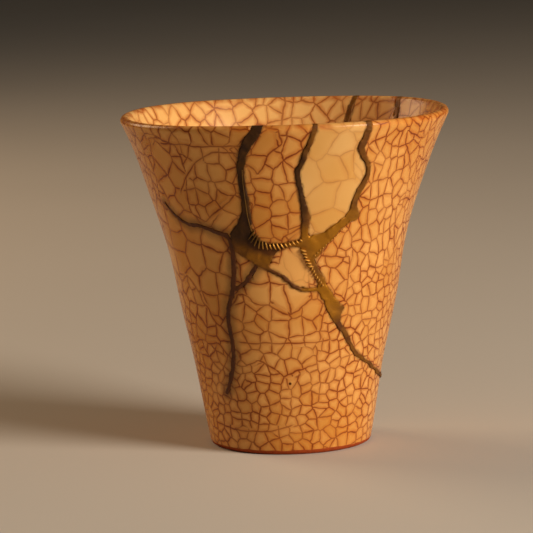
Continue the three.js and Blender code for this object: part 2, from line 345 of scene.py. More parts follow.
def surface_of(piece):
    """The surface of a piece, to find nearest points on."""
    return BVHTree.FromObject(piece, bpy.context.evaluated_depsgraph_get())


section_curve = poly_curve("cup_section", [(r * mm, 0, z * mm) for r, z in cup_section()])
whole_cup = run_tree(wheel_tree(), section_curve, "whole_cup", hand_of_the_thrower)
whole_surface = surface_of(whole_cup)
bpy.data.objects.remove(section_curve)


# The break: the cup fell apart into seven shards. Each mend of the CAD model, spread a little
# sideways, cuts its own gap out of the whole cup, so every shard keeps its real broken edge.
mend_gap = 0.15  # on each side of a mend, in mm
sewing_reach = 0.0005  # in mm
least_sideways = 0.3  # the wall's own faces lean less than this out of its normal


def merged_copy(node):
    """A copy of a CAD node with its loose triangles joined up."""
    sewn = bmesh.new()
    sewn.from_mesh(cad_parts[node].data)
    bmesh.ops.remove_doubles(sewn, verts=sewn.verts, dist=sewing_reach * mm)
    mesh = bpy.data.meshes.new(node + "_copy")
    sewn.to_mesh(mesh)
    sewn.free()
    return show(node + "_copy", mesh)


def spread_sideways(piece, reach):
    """Widens a mend along the wall by a reach in mm on each side."""
    wide = bmesh.new()
    wide.from_mesh(piece.data)
    wide.normal_update()
    moves = []
    for v in wide.verts:
        wall = whole_surface.find_nearest(v.co)[1]
        sideways = v.normal - wall * v.normal.dot(wall)
        moves.append(sideways.normalized() * reach * mm if sideways.length > least_sideways else Vector())
    for v, move in zip(wide.verts, moves):
        v.co += move
    wide.to_mesh(piece.data)
    wide.free()


def breaking_tree():
    """Takes the mends out of the whole cup and numbers the shards that are left."""
    tree, given = new_tree("broken_along_the_mends", {"Gold": "Object", "Lacquer": "Object"})
    node = partial(add, tree)
    gold_gap = node("GeometryNodeObjectInfo", None, given["Gold"]).outputs["Geometry"]
    lacquer_gap = node("GeometryNodeObjectInfo", None, given["Lacquer"]).outputs["Geometry"]
    cut = {"operation": "DIFFERENCE", "solver": "MANIFOLD"}
    broken = node("GeometryNodeMeshBoolean", cut, given["Geometry"], gold_gap)
    wire(tree, lacquer_gap, broken.inputs["Mesh 2"])
    island = node("GeometryNodeInputMeshIsland")
    kept = {"data_type": "INT", "domain": "POINT"}
    numbered = node("GeometryNodeStoreNamedAttribute", kept, Geometry=broken, Name="shard", Value=island)
    node("NodeGroupOutput", None, numbered)
    return tree


gold_cutter = merged_copy("gold_seam")
lacquer_cutter = merged_copy("lacquer_seam")
for cutter in (gold_cutter, lacquer_cutter):
    spread_sideways(cutter, mend_gap)
broken_cup = run_tree(
    breaking_tree(), whole_cup, "broken_cup", {"Gold": gold_cutter, "Lacquer": lacquer_cutter}
)


# The glaze: a thick amber feldspar glaze, glossy, crazed all over on cooling. Tea and iron have
# stained the cracks red-brown, and the stain bleeds into the glaze beside them. Patches of big,
# middling and small cells lie side by side, small ones where it is thick: low and on the right.
cone_share = 0.2415  # the wall unrolls as a cone: radians on the flat for each radian round the cup
cone_start = 83.6  # from the tip of that cone to the foot, in mm
cone_slant = 1.03
# painted light: the inside of the cup is washed towards this paler colour, as if lit more
inside_lit_colour = "#ffce82"
craze_stain = "#c4641b"
craze_line = "#7d3007"
beside_mend_dark = "#3d1e0a"
lip_iron = "#b85c20"
iron_speck = "#54200b"
bare_clay = "#b9501f"
fired_clay = "#8a3a17"
glaze_specular = 0.2
glaze_roughness = 0.21
uneven_gloss = 0.08
crack_roughness = 0.12
clay_roughness = 0.8
relief_depth = 0.03  # of the sunk cracks, in mm
crack_sink = -0.5
clay_grit = 4.0
crack_bend = 3.6  # how far the cracks swing and tremble, and how far their stain bleeds, in mm
crack_tremor = 0.55
crack_waver = 1.6
stain_bleed = 1.2
mend_edge_raggedness = 1.2
least_line = 0.14  # the width of the finest lines, and how much wider others are, in mm
line_spread = 0.32
thinner_by_size = -0.03  # the lines round smaller cells are thinner and fainter
fainter_by_size = -0.02
small_cells_from = 0.6  # the fineness from which the cells are small, and middling
middling_cells_from = 0.26
base_fineness = 0.3
inside_fineness = 0.42
luck_in_fineness = 0.3
upright_from = 44  # the height from which the small cells stand upright, and how much they stretch
upright_stretch = -0.3
floor_pool_top = 7.5
floor_net_away = 600.0  # the nets of the floor and of the inner wall lie this far off on the flat
inside_net_away = 300.0
no_crack = 50.0  # further than any line reaches, in mm
back_radius = 28.0
cell_unevenness = 0.85
tone_by_cell = 0.45
tone_by_thickness = 0.55
# the share of that painted light on the inside
inside_lit_share = 0.7
inside_fading = -0.3
small_shard_place = (5, 48)  # as angle and height
speck_place = (0.2, 18.5)
speck_edge = (0.22, 0.5)
bare_foot_height = 0.5  # of the clay that shows under the glaze, and how much it varies, in mm
bare_foot_waver = 0.9
mix_vectors = {"data_type": "VECTOR"}
soft_step = {"interpolation_type": "SMOOTHSTEP"}

# patches that craze more or less than the wall round them: angle, height, reach in mm, by how much
uneven_patches = [
    (-57, 53, 14, -0.5),
    (-41, 47, 12, -0.55),
    (-14, 43, 9, -0.6),
    (25, 74, 5, -0.7),
    (-4, 47, 6, -0.7),
    (-4, 66, 12, 0.15),
    (-45, 26, 14, 0.2),
]

# long level cracks that cross many cells: first and last angle, their heights, and the sag in mm
long_cracks = [
    (-29, 24, 29.1, 29.3, 0.2),
    (-61, 2, 7.4, 7.8, 1.8),
    (-50, -14, 79.0, 79.0, 0.3),
    (-47, -17, 66.5, 77.0, -4.0),
]

# what is uneven in the glaze: the size of its mottle in mm, and a seed
mottle_sizes = {
    "bend": (9.0, 0.0),
    "tremor": (1.6, 0.0),
    "line width": (3.0, 51.0),
    "waver": (6.0, 40.0),
    "thickness": (20.0, 7.0),
    "wear": (6.0, 21.0),
    "mend edge": (2.2, 3.0),
    "lip": (3.5, 11.0),
    "foot line": (5.0, 17.0),
    "grit": (0.8, 29.0),
    "gloss": (4.0, 33.0),
    "skin": (1.1, 5.0),
}

# how far and how much the glaze darkens beside the mends: attribute, reach in mm and share
darkened_edges = [("near_lacquer", 2.5, 0.5), ("near_gold", 0.7, 0.5)]


def unrolled_height(height):
    """How far from the tip of the unrolled cone a height lies, in mm."""
    return cone_start + cone_slant * height


def unrolled(angle, height):
    """Where a place on the wall lies once the wall is unrolled flat, in mm."""
    turn = cone_share * math.radians(angle)
    reach = unrolled_height(height)
    return (reach * math.sin(turn), reach * math.cos(turn), 0.0)


def craze_net_group():
    """A net of craze cracks on the unrolled wall: how far the nearest crack is, in mm, the way across
    it, and the chances and centres of the cells on this side and beyond it."""
    tree = bpy.data.node_groups.new("craze_net", "ShaderNodeTree")
    node = partial(add, tree)
    tree.interface.new_socket("Place", in_out="INPUT", socket_type="NodeSocketVector")
    tree.interface.new_socket("Cell Size", in_out="INPUT", socket_type="NodeSocketFloat")
    for name in ("Across", "Chance", "Centre", "Chance Beyond", "Centre Beyond"):
        tree.interface.new_socket(name, in_out="OUTPUT", socket_type="NodeSocketVector")
    tree.interface.new_socket("Distance", in_out="OUTPUT", socket_type="NodeSocketFloat")
    given = node("NodeGroupInput").outputs
    size = given["Cell Size"]
    here = node("VectorMath", "SCALE", given["Place"], node("Math", "DIVIDE", 1.0, size))
    near, beside = [
        node(
            "TexVoronoi",
            {"feature": rank, "voronoi_dimensions": "2D"},
            Vector=here,
            Scale=1.0,
            Randomness=cell_unevenness,
        ).outputs
        for rank in ("F1", "F2")
    ]
    gap = node("VectorMath", "SUBTRACT", beside["Position"], near["Position"])
    across = node("VectorMath", "NORMALIZE", gap)
    both = node("VectorMath", "ADD", beside["Position"], near["Position"])
    middle = node("VectorMath", "SCALE", both, 0.5)
    off = node("VectorMath", "DOT_PRODUCT", node("VectorMath", "SUBTRACT", middle, here), across)
    found = [across]
    for cell in (near, beside):
        found += [cell["Color"], node("VectorMath", "SCALE", cell["Position"], size)]
    node("NodeGroupOutput", None, *found, node("Math", "MULTIPLY", off, size))
    return tree


def craze_fineness_group():
    """How finely the glaze crazes at a place of the unrolled wall: 0 leaves big cells, 1 the smallest."""
    tree = bpy.data.node_groups.new("craze_fineness", "ShaderNodeTree")
    node = partial(add, tree)
    tree.interface.new_socket("Place", in_out="INPUT", socket_type="NodeSocketVector")
    tree.interface.new_socket("Fineness", in_out="OUTPUT", socket_type="NodeSocketFloat")
    place = node("NodeGroupInput").outputs["Place"]
    sideways = node("SeparateXYZ", None, place).outputs["X"]
    reach = node("VectorMath", "LENGTH", place)
    on_the_right = node("MapRange", soft_step, sideways, 4.0, 14.0, 0.0, 0.4)
    low_down = node("MapRange", soft_step, reach, unrolled_height(24), unrolled_height(29), 0.5, 0.0)
    far_left = node("MapRange", soft_step, sideways, -42.0, -34.0, 0.3, 0.0)
    parts = [on_the_right, low_down, far_left]
    for angle, height, size, share in uneven_patches:
        apart = node("VectorMath", "DISTANCE", place, unrolled(angle, height))
        parts.append(node("MapRange", soft_step, apart, 0.5 * size, size, share, 0.0))
    total = base_fineness
    for part in parts:
        total = node("Math", "ADD", part, total)
    node("NodeGroupOutput", None, total)
    return tree


craze_net = {"node_tree": craze_net_group()}
craze_fineness = {"node_tree": craze_fineness_group()}


def crackled_glaze(name, patch, cells, line_depth, stain_depth, pale, deep):
    """A glossy crackle glaze over stoneware: patches with three sizes of cells between stained cracks,
    with the clay bare at the foot and iron showing through at the lip. Patch and cells are in mm."""
    material, tree, shader = new_finish(name)
    node = partial(add, tree)
    where = node("TexCoord").outputs
    point = node("VectorMath", "SCALE", where["Object"], 1 / mm)
    place = node("SeparateXYZ", None, point).outputs
    level_place = node("VectorMath", "MULTIPLY", point, (1.0, 1.0, 0.0))
    outward = node("VectorMath", "DOT_PRODUCT", level_place, where["Normal"])
    inside = node("Math", "LESS_THAN", outward, 0.0)
    outside = node("Math", "SUBTRACT", 1.0, inside)
    mottled = {}
    for use, (size, seed) in mottle_sizes.items():
        shifted = node("VectorMath", "ADD", point, (seed, seed, seed))
        mottled[use] = node("TexNoise", None, Vector=shifted, Scale=1 / size, Detail=2.0)

    # cracks run in gentle bends, with a small tremor
    crazed = point
    for use, reach in (("bend", crack_bend), ("tremor", crack_tremor)):
        swing = node("VectorMath", "SUBTRACT", mottled[use].outputs["Color"], (0.5, 0.5, 0.5))
        crazed = node("VectorMath", "ADD", crazed, node("VectorMath", "SCALE", swing, reach))
    bent = node("SeparateXYZ", None, crazed).outputs
    around = node("Math", "ARCTAN2", bent["X"], node("Math", "MULTIPLY", bent["Y"], -1.0))
    reach = node("Math", "MULTIPLY_ADD", bent["Z"], cone_slant, cone_start)
    turn = node("Math", "MULTIPLY", around, cone_share)
    flat_x = node("Math", "MULTIPLY", node("Math", "SINE", turn), reach)
    flat_y = node("Math", "MULTIPLY", node("Math", "COSINE", turn), reach)
    on_flat = node("CombineXYZ", None, flat_x, flat_y, 0.0)

    # the floor inside has a net of its own, and so has the inner wall, far off on the same flat
    pool = node("Math", "MULTIPLY", inside, node("Math", "LESS_THAN", bent["Z"], floor_pool_top))
    level_crazed = node("VectorMath", "MULTIPLY", crazed, (1.0, 1.0, 0.0))
    on_floor = node("VectorMath", "ADD", level_crazed, (floor_net_away, 0.0, 0.0))
    on_flat = node("Mix", mix_vectors, pool, on_flat, on_floor)
    far_off = node("CombineXYZ", None, 0.0, node("Math", "MULTIPLY", inside, inside_net_away), 0.0)
    on_flat = node("VectorMath", "ADD", on_flat, far_off)

    # which size of cells this patch and the one beyond its border have: 0 for big ones, 1 or 2
    patches = node("Group", craze_net, on_flat, patch).outputs
    sizes_found = []
    for side in ("", " Beyond"):
        fine = node("Group", craze_fineness, patches["Centre" + side])
        to_inside = node("Math", "SUBTRACT", inside_fineness, fine)
        fine = node("Math", "MULTIPLY_ADD", inside, to_inside, fine)
        chance = node("SeparateXYZ", None, patches["Chance" + side]).outputs["X"]
        luck = node("Math", "SUBTRACT", chance, 0.5)
        urge = node("Math", "MULTIPLY_ADD", luck, luck_in_fineness, fine)
        middling = node("Math", "GREATER_THAN", urge, middling_cells_from)
        small = node("Math", "GREATER_THAN", urge, small_cells_from)
        sizes_found.append(node("Math", "ADD", middling, small))
    here, beyond = sizes_found

    # patches that craze differently meet in a crack, and one runs up the back of the cup
    alike = node("Math", "COMPARE", here, beyond, 0.5)
    border = node("Math", "MULTIPLY_ADD", alike, no_crack, patches["Distance"])
    from_back = node("Math", "SUBTRACT", math.pi, node("Math", "ABSOLUTE", around))
    cracked = node("Math", "MINIMUM", border, node("Math", "MULTIPLY", from_back, back_radius))

    # the smallest cells stand upright on the upper wall
    flat = node("SeparateXYZ", None, on_flat).outputs
    over = node("Math", "SUBTRACT", flat["Y"], unrolled_height(upright_from))
    over = node("Math", "MAXIMUM", over, 0.0)
    lowered = node("Math", "MULTIPLY_ADD", over, upright_stretch, flat["Y"])
    upright_place = node("CombineXYZ", None, flat["X"], lowered, 0.0)
    is_over = node("Math", "GREATER_THAN", over, 0.0)
    squash = node("Math", "MULTIPLY_ADD", is_over, upright_stretch, 1.0)

    # the net of this patch, out of the three
    for i, (cell_size, spot) in enumerate(zip(cells, (on_flat, on_flat, upright_place))):
        net = node("Group", craze_net, spot, cell_size).outputs
        step, cell_tone = net["Distance"], node("SeparateXYZ", None, net["Chance"]).outputs["Y"]
        if spot is upright_place:
            squashed = node("CombineXYZ", None, 1.0, squash, 0.0)
            true_step = node("VectorMath", "MULTIPLY", net["Across"], squashed)
            step = node("Math", "DIVIDE", step, node("VectorMath", "LENGTH", true_step))
        if i == 0:
            distance, tone, across = step, cell_tone, net["Across"]
            continue
        chosen = node("Math", "GREATER_THAN", here, i - 0.5)
        distance = node("Mix", None, chosen, distance, step)
        tone = node("Mix", None, chosen, tone, cell_tone)
        across = node("Mix", mix_vectors, chosen, across, net["Across"])

    # the lines and the stain beside them; a crack doesn't run along a border close beside it
    along = node("Math", "ABSOLUTE", node("VectorMath", "DOT_PRODUCT", across, patches["Across"]))
    along_border = node("MapRange", soft_step, along, 0.7, 0.92, 0.0, 1.0)
    beside_border = node("MapRange", soft_step, border, 0.5, 1.4, 1.0, 0.0)
    free = node("Math", "SUBTRACT", 1.0, node("Math", "MULTIPLY", along_border, beside_border))
    thick = node("Math", "MULTIPLY_ADD", mottled["line width"], line_spread, least_line)
    thick = node("Math", "MULTIPLY", thick, node("Math", "MULTIPLY_ADD", here, thinner_by_size, 1.0))
    shown = node("Math", "MULTIPLY", free, node("Math", "MULTIPLY_ADD", here, fainter_by_size, 1.0))
    marks = []
    for core, edge in ((0.02, thick), (0.0, stain_bleed)):
        round_cell = node("MapRange", soft_step, distance, core, edge, 1.0, 0.0)
        round_patch = node("MapRange", soft_step, cracked, core, edge, 1.0, 0.0)
        marks.append(node("Math", "MAXIMUM", node("Math", "MULTIPLY", round_cell, shown), round_patch))
    lines, halo = marks

    # the long level cracks, which cut off the cells' own level cracks beside them
    from_front = node("Math", "ARCTAN2", place["X"], node("Math", "MULTIPLY", place["Y"], -1.0))
    degrees = node("Math", "MULTIPLY", from_front, 180 / math.pi)
    waver = node("Math", "MULTIPLY", node("Math", "SUBTRACT", mottled["waver"], 0.5), crack_waver)
    wavering = node("Math", "ADD", place["Z"], waver)
    steep = node("Math", "ABSOLUTE", node("SeparateXYZ", None, across).outputs["Y"])
    level_run = node("MapRange", soft_step, steep, 0.72, 0.92, 0.0, 1.0)
    for left, right, left_height, right_height, sag in long_cracks:
        share = node("Math", "DIVIDE", node("Math", "SUBTRACT", degrees, left), right - left)
        arch = node("Math", "MULTIPLY", share, node("Math", "SUBTRACT", 1.0, share))
        crack_height = node("Math", "MULTIPLY_ADD", share, right_height - left_height, left_height)
        crack_height = node("Math", "MULTIPLY_ADD", arch, -4 * sag, crack_height)
        off = node("Math", "ABSOLUTE", node("Math", "SUBTRACT", wavering, crack_height))
        begun = node("MapRange", soft_step, share, -0.02, 0.04, 0.0, 1.0)
        unended = node("MapRange", soft_step, share, 0.96, 1.02, 1.0, 0.0)
        within = node("Math", "MULTIPLY", node("Math", "MULTIPLY", begun, unended), outside)
        close = node("MapRange", soft_step, off, 0.6, 1.5, 1.0, 0.0)
        cut_off = node("Math", "MULTIPLY", node("Math", "MULTIPLY", level_run, within), close)
        spared = node("Math", "SUBTRACT", 1.0, cut_off)
        drawn = node("Math", "MULTIPLY", within, node("MapRange", soft_step, off, 0.05, thick, 1.0, 0.0))
        bled = node("Math", "MULTIPLY", within, node("MapRange", soft_step, off, 0.0, stain_bleed, 1.0, 0.0))
        lines = node("Math", "MAXIMUM", node("Math", "MULTIPLY", lines, spared), drawn)
        halo = node("Math", "MAXIMUM", node("Math", "MULTIPLY", halo, spared), bled)

    # the small shard by the gold is hardly crazed, and pale
    from_small_shard = node("VectorMath", "DISTANCE", point, tuple(on_wall(*small_shard_place) / mm))
    uncrazed = node("MapRange", soft_step, from_small_shard, 3.6, 5.6, 0.2, 1.0)
    lines = node("Math", "MULTIPLY", lines, uncrazed)
    halo = node("Math", "MULTIPLY", halo, uncrazed)
    paler = node("MapRange", soft_step, from_small_shard, 4.0, 8.0, 1.0, 0.0)

    # the glaze body: pale where thick, amber where thin, each cell a touch different
    thinness = node("MapRange", soft_step, mottled["thickness"], 0.35, 0.65, 0.0, 1.0)
    thin_tone = node("Math", "MULTIPLY", thinness, tone_by_thickness)
    tone = node("Math", "MULTIPLY_ADD", tone, tone_by_cell, thin_tone)
    tone = node("Math", {"operation": "SUBTRACT", "use_clamp": True}, tone, paler)
    body = node("Mix", mix_colours, tone, linear(pale), linear(deep))
    # painted light: the inside is washed paler, as if lit more
    lit_inside = node("Math", "MULTIPLY", inside, inside_lit_share)
    body = node("Mix", mix_colours, lit_inside, body, linear(inside_lit_colour))
    worn = node("MapRange", soft_step, mottled["wear"], 0.32, 0.62, 0.58, 1.0)
    stain = node("Math", "MULTIPLY", node("Math", "MULTIPLY", halo, worn), stain_depth)
    stained = node("Mix", mix_colours, stain, body, linear(craze_stain))
    ink = node("Math", "MULTIPLY_ADD", inside, inside_fading * line_depth, line_depth)
    ink = node("Math", "MULTIPLY", lines, node("Math", "MULTIPLY", worn, ink))
    lined = node("Mix", mix_colours, ink, stained, linear(craze_line))

    # the glaze darkened along the mends, from the distance to them in mm kept in vertex attributes
    ragged = node("Math", "MULTIPLY", node("Math", "SUBTRACT", mottled["mend edge"], 0.5), mend_edge_raggedness)
    darkenings = []
    for attribute, reach, share in darkened_edges:
        away = node("Attribute", {"attribute_name": attribute}).outputs["Fac"]
        edge_distance = node("Math", "ADD", away, ragged)
        darkenings.append(node("MapRange", soft_step, edge_distance, 0.0, reach, share, 0.0))
    darkened_beside_mends = node("Mix", mix_colours, node("Math", "MAXIMUM", *darkenings), lined, linear(beside_mend_dark))

    # iron shows at the lip, where the glaze ran thin, and in one speck
    lip_edge = node("MapRange", soft_step, place["Z"], cup_height - 1.8, cup_height - 0.4, 0.0, 1.0)
    lip_share = node("MapRange", soft_step, mottled["lip"], 0.4, 0.7, 0.08, 0.7)
    lip_share = node("Math", "MULTIPLY", lip_edge, lip_share)
    ironed = node("Mix", mix_colours, lip_share, darkened_beside_mends, linear(lip_iron))
    from_speck = node("VectorMath", "DISTANCE", point, tuple(on_wall(*speck_place) / mm))
    speck = node("MapRange", soft_step, from_speck, *speck_edge, 1.0, 0.0)
    specked = node("Mix", mix_colours, speck, ironed, linear(iron_speck))

    # bare clay round the foot and under it
    foot_line = node("Math", "MULTIPLY_ADD", mottled["foot line"], bare_foot_waver, bare_foot_height)
    over_line = node("Math", "SUBTRACT", place["Z"], foot_line)
    beside_foot = node("MapRange", soft_step, over_line, 0.0, 0.25, 1.0, 0.0)
    facing = node("SeparateXYZ", None, where["Normal"]).outputs["Z"]
    facing_down = node("MapRange", soft_step, facing, -0.6, -0.4, 1.0, 0.0)
    low = node("MapRange", soft_step, place["Z"], 2.0, 2.6, 1.0, 0.0)
    beneath = node("Math", "MULTIPLY", facing_down, low)
    bare = node("Math", "MAXIMUM", node("Math", "MULTIPLY", beside_foot, outside), beneath)
    clay = node("Mix", mix_colours, mottled["grit"], linear(bare_clay), linear(fired_clay))
    wire(tree, node("Mix", mix_colours, bare, specked, clay), shader.inputs["Base Color"])

    # glossy glaze, matt clay, the cracks a little sunk, and fine grit in the clay
    shader.inputs["Specular IOR Level"].default_value = glaze_specular
    gloss = node("Math", "MULTIPLY_ADD", mottled["gloss"], uneven_gloss, glaze_roughness)
    gloss = node("Math", "MULTIPLY_ADD", lines, crack_roughness, gloss)
    wire(tree, node("Mix", None, bare, gloss, clay_roughness), shader.inputs["Roughness"])
    relief = node("Math", "MULTIPLY_ADD", lines, crack_sink, mottled["skin"])
    bare_grit = node("Math", "MULTIPLY", mottled["grit"], bare)
    relief = node("Math", "MULTIPLY_ADD", bare_grit, clay_grit, relief)
    bump = node("Bump", None, Strength=0.5, Distance=relief_depth * mm, Height=relief)
    wire(tree, bump, shader.inputs["Normal"])
    return material


glaze_on_cup = crackled_glaze(
    "crazed_feldspar_glaze",
    patch=9.0,
    cells=(6.2, 4.0, 2.7),
    line_depth=0.95,
    stain_depth=0.66,
    pale="#f1b365",
    deep="#da9440",
)


# The cup body: the large shard with the foot, the floor, the left wall and most of the lip, thrown
# in stoneware. The other shards are set against it.
mend_distance_reach = 4.0  # how far from a mend its distance is kept, in mm
sharp_edge = math.radians(40)
largest_misfit = 2.0  # between a shard and its CAD node, in mm

island = np.zeros(len(broken_cup.data.vertices), np.int32)
broken_cup.data.attributes["shard"].data.foreach_get("value", island)
places = np.zeros(len(island) * 3, np.float32)
broken_cup.data.vertices.foreach_get("co", places)
places = places.reshape(-1, 3)
island_boxes = {int(i): (places[island == i].min(0), places[island == i].max(0)) for i in np.unique(island)}
mend_surfaces = {"near_gold": surface_of(gold_cutter), "near_lacquer": surface_of(lacquer_cutter)}


def shard_piece(node, finish):
    """The shard of the broken cup that lies where a CAD node is, as an object of its own."""
    low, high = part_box(node)
    misfit = {i: (Vector(a) - low).length + (Vector(b) - high).length for i, (a, b) in island_boxes.items()}
    wanted = min(misfit, key=misfit.get)
    if misfit[wanted] > largest_misfit * mm:
        raise ValueError(f"no shard lies where {node} is")
    chosen = bmesh.new()
    chosen.from_mesh(broken_cup.data)
    number = chosen.verts.layers.int["shard"]
    bmesh.ops.delete(chosen, geom=[v for v in chosen.verts if v[number] != wanted], context="VERTS")
    mesh = bpy.data.meshes.new("glazed_" + node)
    chosen.to_mesh(mesh)
    chosen.free()
    for attribute, surface in mend_surfaces.items():
        found = [surface.find_nearest(v.co, mend_distance_reach * mm)[3] for v in mesh.vertices]
        distances = [mend_distance_reach if distance is None else distance / mm for distance in found]
        mesh.attributes.new(attribute, "FLOAT", "POINT").data.foreach_set("value", distances)
    mesh.shade_smooth()
    mesh.set_sharp_from_angle(angle=sharp_edge)
    mesh.materials.clear()
    mesh.materials.append(finish)
    return show("glazed_" + node, mesh)


cup_body = shard_piece("cup_body", glaze_on_cup)
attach(cup_body, "root")
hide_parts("cup_body")


# The crazed wall and rim shards: the right wall from the lip to the bow-shaped break, the front rim
# shard between the left and middle seams, and the back one. They are the cup's own stoneware and
# glaze, bonded in again with lacquer.
for wall_node in ("right_wall_shard", "rim_shard_front_left", "rim_shard_back"):
    wall_shard = shard_piece(wall_node, glaze_on_cup)
    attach(wall_shard, "root")
    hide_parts(wall_node)


# The plain rim shard: creamy and hardly crazed, between the middle and the right seam. Its glaze is
# the same feldspar, but it took the clay's shrinking better, so its few lines are wide apart.
glaze_on_plain_shard = crackled_glaze(
    "plain_feldspar_glaze",
    patch=19.0,
    cells=(9.0, 7.0, 5.0),
    line_depth=0.3,
    stain_depth=0.2,
    pale="#efbf79",
    deep="#e2a859",
)
plain_shard = shard_piece("rim_shard_front_plain", glaze_on_plain_shard)
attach(plain_shard, "root")
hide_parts("rim_shard_front_plain")


# The chips: the small pale shard under the horizontal gold, and the three-cornered wedge between it
# and the left crack. They are the cup's own stoneware, set back into the break.
for chip_node in ("small_shard", "wedge_shard"):
    chip = shard_piece(chip_node, glaze_on_cup)
    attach(chip, "root")
    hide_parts(chip_node)


# The gold mend: clay-filled lacquer pressed into the breaks and the lost chips, built up a little
# proud of the glaze, then dusted with gold powder that has rubbed to a satin antique gold.
gold_laying = {"spread": 0.2, "voxel": 0.23, "rounds": 5, "least_height": 0.3, "raggedness": 0.28}
lip_height = cup_height - 2  # from here up a mend lies flush, in mm
lip_height_share = 0.15
swell_size = 3.0  # of the lacquer's swells and of its ragged edges, in mm
ragged_size = 1.5
bare_lacquer = "#5e340c"
antique_gold = "#ad741c"
# painted shade: the left seam is darkened towards this colour, over its brown lacquer
dark_lacquer_and_shade = "#1e0f06"
dusted_share = 0.22  # of the gold that is left on average
lacquer_specular = 0.25
powder_grain = 0.35  # drawn coarser than the powder, which would be too fine to show, in mm
worn_patch = 3.5
dust_contrast = 1.3
left_seam_shade_place = (-16, 70)  # as angle and height
left_seam_shade_reach = (15, 19)
left_seam_shade_share = 0.75
noise.seed_set(1)  # else the ragged edges would fall differently at every run

# where the gold lies thick, or not at all, and where it is darkened to bare lacquer as painted shadow under
# the comb: angle, height, reach in mm and share
gold_and_shade_places = [
    (8, 53, 8, 0.6),
    (24, 57, 9, 0.7),
    (15, 40, 9, 0.8),
    (25, 30, 8, -0.05),
    (-14, 49, 6, 0.3),
    # painted shadow: the gold darkened to bare lacquer under the comb of ridges
    (-12, 54, 4, -0.5),
    (-5, 53.5, 4, -0.5),
    (-4, 45, 6, -0.4),
    (2, 44, 5, -0.4),
]


def laid_lacquer(node, name, finish, spread, voxel, rounds, least_height, raggedness):
    """A CAD mend laid by hand: spread over the shard edges, its corners flowed round in some rounds of
    smoothing, ragged at the edges, and in places down to its least share of the CAD mend's height.
    Spread, voxel and raggedness are in mm."""
    laid = merged_copy(node)
    spread_sideways(laid, spread)
    remesh = laid.modifiers.new("clay", "REMESH")
    remesh.mode = "VOXEL"
    remesh.voxel_size = voxel * mm
    flow = laid.modifiers.new("flow", "SMOOTH")
    flow.factor = 0.5
    flow.iterations = rounds
    depsgraph = bpy.context.evaluated_depsgraph_get()
    mesh = bpy.data.meshes.new_from_object(laid.evaluated_get(depsgraph), depsgraph=depsgraph)
    bpy.data.objects.remove(laid)
    low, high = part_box(node)
    for v in mesh.vertices:
        foot, wall, _, _ = whole_surface.find_nearest(v.co)
        proud = (v.co - foot).dot(wall)
        swell = noise.fractal(v.co / (swell_size * mm), 0.8, 2.0, 2)
        waver = noise.turbulence_vector(v.co / (ragged_size * mm), 2, False) * raggedness * mm
        share = min(max(least_height + (1 - least_height) * (0.6 + 0.9 * swell), least_height), 1)
        if v.co.z > lip_height * mm:
            share = lip_height_share
        moved = foot + wall * (proud * share if proud > 0 else proud) + waver - wall * waver.dot(wall)
        v.co = [min(max(c, least), most) for c, least, most in zip(moved, low, high)]
    mesh.shade_smooth()
    mesh.materials.clear()
    mesh.materials.append(finish)
    return show(name, mesh)


def gilded_lacquer(name, thin_gold, full_gold, thick_and_shaded_places, metal):
    """Gold powder rubbed into brown lacquer: mustard to olive where it lies thick, and dark brown
    lacquer where it is worn or was never dusted. Places with a negative share darken it towards
    bare lacquer, those under the comb as painted shadow, and the left seam is painted dark as shade."""
    material, tree, shader = new_finish(name)
    node = partial(add, tree)
    place = node("TexCoord").outputs["Object"]
    patches = node("TexNoise", None, Vector=place, Scale=1 / (worn_patch * mm), Detail=3.0)
    grain = node("TexNoise", None, Vector=place, Scale=1 / (powder_grain * mm), Detail=2.0)
    dusted = node("Math", "MULTIPLY", node("Math", "SUBTRACT", patches, 0.5), dust_contrast)
    # listed places add gold or take it away; those under the comb darken it to bare lacquer as painted
    # shadow
    for angle, height, reach, share in thick_and_shaded_places:
        apart = node("VectorMath", "DISTANCE", place, tuple(on_wall(angle, height)))
        more = node("MapRange", soft_step, apart, 0.3 * reach * mm, reach * mm, share, 0.0)
        dusted = node("Math", "ADD", dusted, more)
    dusted = node("Math", {"operation": "ADD", "use_clamp": True}, dusted, dusted_share)
    tint = node("Mix", mix_colours, dusted, linear(thin_gold), linear(full_gold))

    # the left seam is painted dark as shade, over lacquer that is hardly gilded
    from_left_seam = node("VectorMath", "DISTANCE", place, tuple(on_wall(*left_seam_shade_place)))
    least, most = [reach * mm for reach in left_seam_shade_reach]
    left_seam_shaded = node("MapRange", soft_step, from_left_seam, least, most, left_seam_shade_share, 0.0)
    tint = node("Mix", mix_colours, left_seam_shaded, tint, linear(dark_lacquer_and_shade))
    wire(tree, tint, shader.inputs["Base Color"])
    wire(tree, node("Math", "MULTIPLY", dusted, metal), shader.inputs["Metallic"])
    shader.inputs["Specular IOR Level"].default_value = lacquer_specular
    rough = node("MapRange", None, grain, 0.3, 0.7, 0.3, 0.5)
    undusted = node("Math", "SUBTRACT", 1.0, dusted)
    rough = node("Math", "MULTIPLY_ADD", undusted, 0.25, rough)
    wire(tree, rough, shader.inputs["Roughness"])
    bump = node("Bump", None, Strength=0.5, Distance=0.03 * mm, Height=grain)
    wire(tree, bump, shader.inputs["Normal"])
    return material


rubbed_gold = gilded_lacquer(
    "rubbed_gold_powder", bare_lacquer, antique_gold, gold_and_shade_places, metal=0.6
)
gold = laid_lacquer("gold_seam", "laid_gold_seam", rubbed_gold, **gold_laying)
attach(gold, "root")
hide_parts("gold_seam")


# The gold wrinkles: where the lacquer was too thick its skin gathered as it dried, in combs of small
# ridges and strings of beads along the gold's edges. They are lacquer and gold powder as well.
thin_leaf = "#8a5a1c"
burnished_leaf = "#dca44a"
wrinkle_wall_lean = math.radians(14)
wrinkle_proud = 0.3  # of the wall, in mm

